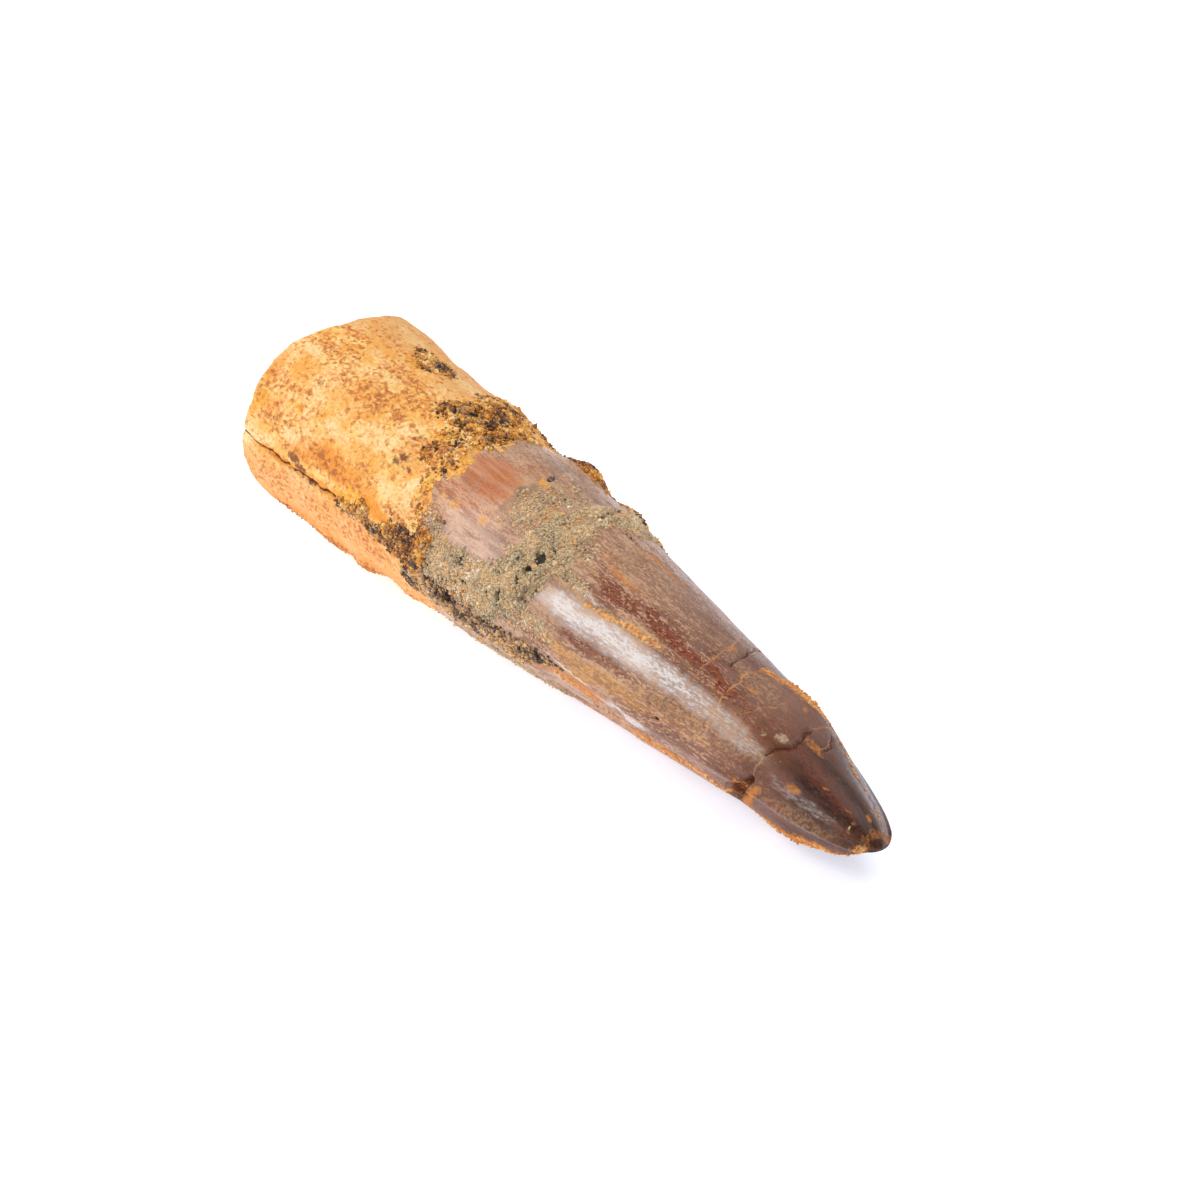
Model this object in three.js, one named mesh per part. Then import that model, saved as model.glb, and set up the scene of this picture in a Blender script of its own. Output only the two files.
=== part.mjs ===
import * as THREE from "three";

// A fossil spinosaurus tooth lying on its side. Millimetres, +Z up, root end at -X, tip at +X.
// A point of the surface has two coordinates: `along`, its distance from the root end, and `turn`, its
// angle in degrees about the long axis. Turn 0 faces +Y, 90 faces up, 180 faces -Y, 270 faces the table.

const toothLength = 92.4;
const rootHalfWidth = 12.4;
const tipHalfWidth = 3.4;
const sideSwell = 1.5; // extra half width at mid length
const roundness = 0.86; // height over width of a cross-section
const bluntness = 24; // a higher power closes the tip more abruptly
const bend = 3.0; // how far the whole tooth leans to -Y
const tipHook = 1.1; // how much more the last quarter leans
const rootAxisHeight = 10.8;
const tipAxisHeight = 4.0;
const tipLift = 0.4;
const hookStart = 0.72; // share of the length where hook and lift begin
const tipFullness = 2; // half width below which the relief shrinks with it

// The tooth rests on its worn belly, and the underside of the tip is worn to a sloping facet.
const tableHeight = 0;
const facet = { start: 86.5, height: 1.5, slope: 0.55 };

// The two cutting edges, one on each side.
const carina = { turns: [2, 181], start: 44, full: 56, height: 0.35, width: 6 };

// Mounds on the plain cone: lumps of cemented sediment and of bone, and a few hollows (negative height).
const mounds = [
  { along: 22.6, turn: 84, length: 3.6, width: 17, height: 0.55 }, // dark crust at the neck
  { along: 23.6, turn: 63, length: 2.4, width: 12, height: 0.5 },
  { along: 20.6, turn: 48, length: 2.4, width: 11, height: 0.25 },
  { along: 27.2, turn: 95, length: 1.4, width: 6, height: 0.3 },
  { along: 33.2, turn: 38, length: 2.6, width: 12, height: 0.95 }, // crust on the far side
  { along: 41.4, turn: 37, length: 1.9, width: 10, height: 0.55 },
  { along: 12.8, turn: 70, length: 2.4, width: 8, height: 0.3 },
  { along: 11.0, turn: 169, length: 1.3, width: 5, height: 0.3 }, // brown lump on the root crack
  { along: 24.5, turn: 172, length: 4.5, width: 9, height: 0.35 }, // crust along the lower edge
  { along: 33.0, turn: 186, length: 5.5, width: 13, height: 0.5 },
  { along: 42.0, turn: 191, length: 5.0, width: 11, height: 0.4 },
  { along: 37.0, turn: 164, length: 6.0, width: 17, height: 0.3 },
  { along: 43.2, turn: 126, length: 2.1, width: 34, height: 0.28 }, // sand collar round the crown
  { along: 43.0, turn: 66, length: 2.0, width: 26, height: 0.25 },
  { along: 12.3, turn: 221, length: 2.8, width: 9, height: 0.5 }, // rough lower side of the root
  { along: 17.8, turn: 222, length: 1.8, width: 8, height: 0.55 },
  { along: 26.5, turn: 222, length: 4.2, width: 12, height: 0.4 },
  { along: 4.5, turn: 47, length: 5.0, width: 22, height: 0.4 }, // the root flares a little at its rim
  { along: 15.0, turn: 44, length: 5.0, width: 20, height: -0.15 },
  { along: 27.4, turn: 44, length: 2.6, width: 20, height: -0.5 },
  { along: 56.0, turn: 40, length: 12, width: 34, height: -0.28 }, // flatter far side of the crown
  { along: 75.0, turn: 44, length: 3.8, width: 26, height: 0.5 },
  { along: 87.2, turn: 42, length: 5.6, width: 40, height: -0.72 },
  { along: 82.4, turn: 226, length: 4.2, width: 22, height: 0.65 }, // dirt under the tip
  { along: 36.0, turn: 300, length: 9.0, width: 26, height: 0.5 }, // hidden side: more crust
  { along: 18.0, turn: 330, length: 5.0, width: 20, height: 0.4 },
];

// The drying crack that runs in from the root end, with extra columns of points beside it.
const rootCrack = { turn: 173, end: 16.6, fading: 4, width: 1.3, depth: 0.55 };
const crackColumns = [171, 173, 175];

// The chip beside the ring crack near the tip: it is widest at the lower edge and closes upwards.
const chip = {
  low: { along: 75.4, turn: 210 }, high: { along: 78.2, turn: 160 },
  halfLength: 0.9, narrowing: 0.75, depth: 0.6, fadeTurns: 14,
};

// Flaked enamel: inside the patch the surface lies one flake lower.
const flake = {
  from: 47, to: 61, endSlope: 1.2, lowTurn: 184, highTurn: 224, edgeTurns: 4, depth: 0.5,
};

// How far the broken rim is set back from the root end, by turn.
const rimSetback = [
  [0, 1.2], [22, 1.5], [46, 0.3], [62, 1.2], [90, 1.3], [105, 0.7], [116, -0.1], [130, -0.2], [143, 0],
  [155, 0.5], [172, 0.4], [177, 0.2], [186, 0.5], [200, 1.7], [214, 3.0], [232, 2.6], [255, 1.0],
  [285, 1.8], [312, 0.7], [338, 1.6], [360, 1.2],
];
const rimBlend = 7; // the setback has died away this far along

// The broken root end: a worn ring of dentine round a pulp cavity that sediment half fills.
const cavity = { radius: 0.46, lip: 0.09, depth: 1.7, setback: 1.1, toSide: -1.2, up: 0.7 };
const endRings = [0.97, 0.88, 0.7, 0.55, 0.44, 0.34, 0.17];
const rimRounding = { from: 0.9, depth: 0.5 };
const breakRoughness = { height: 0.22, ringRate: 9, turnCount: 2, crossCount: 3 };

const columnSpacing = 6;

const clamp01 = (value) => Math.min(1, Math.max(0, value));
const smooth = (from, to, value) => {
  const share = clamp01((value - from) / (to - from));
  return share * share * (3 - 2 * share);
};
const turnGap = (a, b) => Math.abs(((((a - b) % 360) + 540) % 360) - 180);
const bell = (distance) => Math.exp(-distance * distance);

function axisAt(along) {
  const share = along / toothLength;
  const hook = clamp01((share - hookStart) / (1 - hookStart)) ** 2;
  return {
    side: -bend * share * share - tipHook * hook,
    height: rootAxisHeight + (tipAxisHeight - rootAxisHeight) * share + tipLift * hook,
  };
}

function halfWidthAt(along) {
  const share = along / toothLength;
  const taper = rootHalfWidth + (tipHalfWidth - rootHalfWidth) * share;
  const closing = Math.sqrt(Math.max(0, 1 - share ** bluntness));
  return (taper + sideSwell * Math.sin(Math.PI * share)) * closing;
}

function setbackAt(turn) {
  const next = rimSetback.findIndex(([angle]) => angle > turn);
  const [[fromTurn, fromBack], [toTurn, toBack]] = rimSetback.slice(next - 1, next + 1);
  return fromBack + (toBack - fromBack) * smooth(fromTurn, toTurn, turn);
}

function moundRelief(along, turn) {
  return mounds.reduce((sum, item) => {
    const reach = bell((along - item.along) / item.length);
    return sum + item.height * reach * bell(turnGap(turn, item.turn) / item.width);
  }, 0);
}

// Crossing waves that leave the root uneven and nearly die out over the smooth crown.
const waveFade = { from: 26, to: 48, left: 0.15 };
const waves = [
  { alongRate: 0.33, turnCount: 2, phase: 0.4, height: 0.09 },
  { alongRate: -0.21, turnCount: 3, phase: 4.0, height: 0.08 },
  { alongRate: 0.71, turnCount: 5, phase: 1.9, height: 0.05 },
  { alongRate: -1.1, turnCount: 7, phase: 2.6, height: 0.045 },
  { alongRate: 1.7, turnCount: -11, phase: 0.7, height: 0.035 },
];

function rootUnevenness(along, turn) {
  const angle = THREE.MathUtils.degToRad(turn);
  const sum = waves.reduce((total, wave) => {
    const phase = wave.alongRate * along + wave.turnCount * angle + wave.phase;
    return total + wave.height * Math.sin(phase);
  }, 0);
  return sum * (1 - (1 - waveFade.left) * smooth(waveFade.from, waveFade.to, along));
}

function carinaRelief(along, turn) {
  const gap = Math.min(...carina.turns.map((edge) => turnGap(turn, edge)));
  return carina.height * smooth(carina.start, carina.full, along) * bell(gap / carina.width);
}

function crackRelief(along, turn) {
  const inside = smooth(rootCrack.end, rootCrack.end - rootCrack.fading, along);
  return -rootCrack.depth * inside * bell(turnGap(turn, rootCrack.turn) / rootCrack.width);
}

function chipRelief(along, turn) {
  const { low, high, fadeTurns } = chip;
  const up = clamp01((low.turn - turn) / (low.turn - high.turn));
  const centre = low.along + (high.along - low.along) * up;
  const halfLength = chip.halfLength * (1 - chip.narrowing * up);
  const fade = smooth(high.turn - 3, high.turn - 3 + fadeTurns, turn)
    * (1 - smooth(low.turn + 5, low.turn + 5 + fadeTurns, turn));
  return -chip.depth * fade * bell((along - centre) / halfLength);
}

function flakeRelief(along, turn) {
  const { from, to, endSlope, lowTurn, highTurn, edgeTurns } = flake;
  const lengthwise = smooth(from - endSlope, from + endSlope, along)
    * (1 - smooth(to - endSlope, to + endSlope, along));
  const across = smooth(lowTurn, lowTurn + edgeTurns, turn)
    * (1 - smooth(highTurn, highTurn + 2 * edgeTurns, turn));
  return -flake.depth * lengthwise * across;
}

function surfacePoint(along, turn) {
  const angle = THREE.MathUtils.degToRad(turn);
  const axis = axisAt(along);
  const halfWidth = halfWidthAt(along);
  const fullness = clamp01(halfWidth / tipFullness); // relief dies out with the closing tip
  const relief = fullness * (moundRelief(along, turn) + rootUnevenness(along, turn)
    + carinaRelief(along, turn) + crackRelief(along, turn) + chipRelief(along, turn)
    + flakeRelief(along, turn));
  const wornHeight = Math.max(tableHeight, facet.height + facet.slope * (along - facet.start));
  return new THREE.Vector3(
    along - toothLength / 2,
    axis.side + (halfWidth + relief) * Math.cos(angle),
    Math.max(axis.height + (halfWidth * roundness + relief) * Math.sin(angle),
      Math.min(wornHeight, axis.height)),
  );
}

// Rows of points stand closer together at the rim, at the chip and at the tip.
function steps(from, to, count) {
  return Array.from({ length: count }, (_, i) => from + ((to - from) * i) / count);
}
const sideRows = [
  0.45, 1.0, ...steps(1.9, 31, 20), ...steps(31, 46, 11), ...steps(46, 60, 9), ...steps(60, 74, 7),
  ...steps(74, 80, 8), ...steps(80, 89, 7), ...steps(89, 91.6, 5), 91.6, 91.95, 92.2, 92.34,
];

function columnTurns() {
  const even = Array.from({ length: 360 / columnSpacing }, (_, i) => i * columnSpacing);
  const [first, , last] = crackColumns;
  const outside = even.filter((turn) => turn < first - 1 || turn > last + 1);
  return [...outside, ...crackColumns].sort((a, b) => a - b);
}

function sidePoint(row, turn) {
  const along = row + setbackAt(turn) * (1 - smooth(0, rimBlend, row));
  return surfacePoint(along, turn);
}

// A point of the broken root end: `ring` is 1 at the rim and 0 in the middle of the pulp cavity.
function endPoint(ring, turn) {
  const rim = sidePoint(0, turn);
  const axis = axisAt(0);
  const angle = THREE.MathUtils.degToRad(turn);
  const setback = THREE.MathUtils.lerp(cavity.setback, setbackAt(turn), ring);
  const rounding = rimRounding.depth * smooth(rimRounding.from, 1, ring);
  const sunk = cavity.depth * (1 - smooth(cavity.radius - cavity.lip, cavity.radius + cavity.lip, ring));
  const { height, ringRate, turnCount, crossCount } = breakRoughness;
  const roughness = height * ring * Math.sin(ringRate * ring + turnCount * angle)
    * Math.sin(crossCount * angle + 1);
  return new THREE.Vector3(
    setback + rounding + sunk + roughness * (1 - rounding) - toothLength / 2,
    axis.side + cavity.toSide * (1 - ring) + (rim.y - axis.side) * ring,
    axis.height + cavity.up * (1 - ring) + (rim.z - axis.height) * ring,
  );
}

function toothGeometry() {
  const turns = columnTurns();
  const columns = turns.length;
  const rings = [
    ...[...endRings].reverse().map((ring) => turns.map((turn) => endPoint(ring, turn))),
    ...sideRows.map((row) => turns.map((turn) => sidePoint(row, turn))),
  ];
  const rootCentre = endPoint(0, 0);
  const tip = surfacePoint(toothLength, 0);
  const points = [rootCentre, ...rings.flat(), tip];
  const at = (ring, column) => 1 + ring * columns + (column % columns);
  const faces = [];
  for (let column = 0; column < columns; column++) {
    faces.push(0, at(0, column + 1), at(0, column));
    faces.push(points.length - 1, at(rings.length - 1, column), at(rings.length - 1, column + 1));
    for (let ring = 0; ring < rings.length - 1; ring++) {
      const [a, b] = [at(ring, column), at(ring, column + 1)];
      const [c, d] = [at(ring + 1, column + 1), at(ring + 1, column)];
      faces.push(a, b, c, a, c, d);
    }
  }
  return new THREE.BufferGeometry().setFromPoints(points).setIndex(faces);
}

// Moves the shape so that its box stands centred over the origin with its lowest point on the table.
function centred(geometry) {
  geometry.computeBoundingBox();
  const { min, max } = geometry.boundingBox;
  geometry.translate(-(min.x + max.x) / 2, -(min.y + max.y) / 2, -min.z);
  geometry.computeVertexNormals();
  return geometry;
}

const group = new THREE.Group();
const fossil = new THREE.MeshStandardMaterial({ color: 0xb8875c, roughness: 0.6 });
const tooth = new THREE.Mesh(centred(toothGeometry()), fossil);
tooth.name = "tooth";
group.add(tooth);

export default group;
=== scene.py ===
import itertools

import bpy
import numpy as np
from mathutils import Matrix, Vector


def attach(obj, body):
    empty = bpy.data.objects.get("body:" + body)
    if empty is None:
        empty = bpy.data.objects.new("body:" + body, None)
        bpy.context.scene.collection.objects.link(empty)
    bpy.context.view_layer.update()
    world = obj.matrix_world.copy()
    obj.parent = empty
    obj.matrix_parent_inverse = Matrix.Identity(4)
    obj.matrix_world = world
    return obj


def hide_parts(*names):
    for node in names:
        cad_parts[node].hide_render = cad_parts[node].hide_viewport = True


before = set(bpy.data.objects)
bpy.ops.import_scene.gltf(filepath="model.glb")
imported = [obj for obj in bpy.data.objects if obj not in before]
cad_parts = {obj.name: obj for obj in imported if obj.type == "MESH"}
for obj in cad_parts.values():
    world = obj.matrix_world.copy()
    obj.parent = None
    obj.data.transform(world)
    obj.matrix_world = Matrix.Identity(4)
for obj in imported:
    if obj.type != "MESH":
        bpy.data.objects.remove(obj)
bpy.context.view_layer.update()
bpy.context.scene.view_settings.view_transform = "Standard"
mm = 0.001

# The tooth is described in millimetres by two coordinates: along, the distance from the root end, and
# turn, the angle in degrees about the long axis: 0 faces +Y, 90 up, 180 faces -Y, 270 the table.
form = {
    "length": 92.4,
    "rootHalfWidth": 12.4,
    "tipHalfWidth": 3.4,
    "sideSwell": 1.5,
    "roundness": 0.86,
    "bluntness": 24,
    "bend": 3.0,
    "tipHook": 1.1,
    "rootAxisHeight": 10.8,
    "tipAxisHeight": 4.0,
    "tipLift": 0.4,
    "hookStart": 0.72,
    "tipFullness": 2.0,
    "facetStart": 86.5,
    "facetHeight": 1.5,
    "facetSlope": 0.55,
}

# Mounds (and hollows, with a negative height): along, turn, length, width in degrees, height.
mounds = [
    (22.6, 84, 3.6, 17, 0.55), (23.6, 63, 2.4, 12, 0.5), (20.6, 48, 2.4, 11, 0.25), (27.2, 95, 1.4, 6, 0.3),
    (33.2, 38, 2.6, 12, 0.95), (41.4, 37, 1.9, 10, 0.55), (12.8, 70, 2.4, 8, 0.3), (11, 169, 1.3, 5, 0.3),
    (24.5, 172, 4.5, 9, 0.35), (33, 186, 5.5, 13, 0.5), (42, 191, 5, 11, 0.4), (37, 164, 6, 17, 0.3),
    (43.2, 126, 2.1, 34, 0.28), (43, 66, 2, 26, 0.25), (12.3, 221, 2.8, 9, 0.5), (17.8, 222, 1.8, 8, 0.55),
    (26.5, 222, 4.2, 12, 0.4), (4.5, 47, 5, 22, 0.4), (15, 44, 5, 20, -0.15), (27.4, 44, 2.6, 20, -0.5),
    (56, 40, 12, 34, -0.28), (75, 44, 3.8, 26, 0.5), (87.2, 42, 5.6, 40, -0.72), (82.4, 226, 4.2, 22, 0.65),
    (36, 300, 9, 26, 0.5), (18, 330, 5, 20, 0.4),
]

# Crossing waves that leave the root uneven: rate along, turns round, phase, height.
waves = [(0.33, 2, 0.4, 0.09), (-0.21, 3, 4.0, 0.08), (0.71, 5, 1.9, 0.05), (-1.1, 7, 2.6, 0.045)]

# How far the broken rim is set back from the root end: turn and distance, faded out over the blend.
rimSetbacks = [
    (0, 1.2), (22, 1.5), (46, 0.3), (62, 1.2), (90, 1.3), (105, 0.7), (116, -0.1), (130, -0.2), (143, 0),
    (155, 0.5), (172, 0.4), (177, 0.2), (186, 0.5), (200, 1.7), (214, 3.0), (232, 2.6), (255, 1.0),
    (285, 1.8), (312, 0.7), (338, 1.6), (360, 1.2),
]
rimBlend = 7.0


def smooth(start, stop, value):
    # 0 before start, 1 after stop, and 3s^2 - 2s^3 of the share between them
    share = np.clip((value - start) / (stop - start), 0, 1)
    return share * share * (3 - 2 * share)


def bell(distance):
    return np.exp(-distance * distance)


def turnGap(first, second):
    # the shorter way round between two angles
    return np.abs((first - second + 540) % 360 - 180)


def rimSetback(turn):
    return np.interp(turn, *zip(*rimSetbacks))


# Odd numbers that scramble a lattice corner and a seed into an even spread of heights.
hashFactors = np.array([374761393, 668265263, 1440662683])
seedFactor = 974711
mixFactor = 1274126177
wordMask = 0xFFFFFFFF


def latticeNoise(points, cell, seed):
    # value noise: a hashed height at each corner of a cubic lattice, blended with smooth weights, -1 to 1
    scaled = points / cell
    corner = np.floor(scaled).astype(np.int64)
    share = scaled - corner
    share = share * share * (3 - 2 * share)
    total = np.zeros(len(points))
    for step in itertools.product((0, 1), repeat=3):
        mixed = ((corner + step) @ hashFactors + seed * seedFactor) & wordMask
        mixed = ((mixed ^ (mixed >> 13)) * mixFactor) & wordMask
        height = (mixed ^ (mixed >> 16)) / wordMask
        total += height * np.where(step, share, 1 - share).prod(axis=1)
    return 2 * total - 1


def fractalNoise(points, cell, octaves, seed):
    # octaves of lattice noise, each half as large and half as strong as the one before
    layers = [latticeNoise(points, cell / 2**i, seed + i) / 2**i for i in range(octaves)]
    return sum(layers) / sum(0.5**i for i in range(octaves))


def axisAt(along):
    # sideways place and height of the axis: a parabola, with a short hook near the tip
    share = along / form["length"]
    hook = np.clip((share - form["hookStart"]) / (1 - form["hookStart"]), 0, 1) ** 2
    side = -form["bend"] * share**2 - form["tipHook"] * hook
    drop = (form["tipAxisHeight"] - form["rootAxisHeight"]) * share
    return side, form["rootAxisHeight"] + drop + form["tipLift"] * hook


def halfWidthAt(along):
    # a straight taper with a sine swell, closed at the tip by sqrt(1 - share^bluntness)
    share = np.clip(along / form["length"], 0, 1)
    taper = form["rootHalfWidth"] + (form["tipHalfWidth"] - form["rootHalfWidth"]) * share
    return (taper + form["sideSwell"] * np.sin(np.pi * share)) * np.sqrt(1 - share ** form["bluntness"])


# Shares of a patch's half size where it begins and where it is full.
patchFade = (1.45, 0.6)


def patches(along, turn, items):
    # the strongest of several rounded patches, each faded between two shares of its half size
    total = np.zeros(len(along))
    for at, angle, length, width, strength in items:
        reach = np.hypot((along - at) / length, turnGap(turn, angle) / width)
        total = np.maximum(total, strength * smooth(*patchFade, reach))
    return total


# Reach of a line in millimetres: where it is cut off, and its fades to the side and past its ends.
farAway = 1e9
lineReach = {"far": 2.0, "across": (1.2, 0.7), "past": (0.4, 0)}
leastWidth = {"line": 1.0, "drift": 2.0}


def pathField(along, turn, path):
    # signed distance in millimetres to a path of (along, turn) points, and how far a point is past its ends
    degree = np.maximum(halfWidthAt(along), leastWidth["line"]) * np.pi / 180
    side = np.full(len(along), farAway)
    past = np.zeros(len(along))
    for i, ((startAlong, startTurn), (endAlong, endTurn)) in enumerate(zip(path, path[1:])):
        stepAlong, stepTurn = endAlong - startAlong, (endTurn - startTurn) * degree
        offAlong, offTurn = along - startAlong, (turn - startTurn) * degree
        length = np.hypot(stepAlong, stepTurn)
        share = (offAlong * stepAlong + offTurn * stepTurn) / length**2
        kept = np.clip(share, 0, 1)
        gap = np.hypot(offAlong - kept * stepAlong, offTurn - kept * stepTurn)
        before = np.maximum(-share, 0) * length if i == 0 else 0 * share
        after = np.maximum(share - 1, 0) * length if i == len(path) - 2 else 0 * share
        isNearer = gap < np.abs(side)
        side = np.where(isNearer, gap * np.sign(stepAlong * offTurn - stepTurn * offAlong), side)
        past = np.where(isNearer, before + after, past)
    return side, past


def lineField(along, turn, lines):
    # signed distance to the nearest of several lines, and its width there, 0 away from all of them
    nearest = np.full(len(along), lineReach["far"])
    width = np.zeros(len(along))
    for opening, path in lines:
        side, past = pathField(along, turn, path)
        gap = np.abs(side)
        isNearer = gap < np.abs(nearest)
        nearest = np.where(isNearer, side, nearest)
        fade = smooth(*lineReach["across"], gap) * smooth(*lineReach["past"], past)
        width = np.where(isNearer, opening * fade, width)
    return nearest, width


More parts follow.
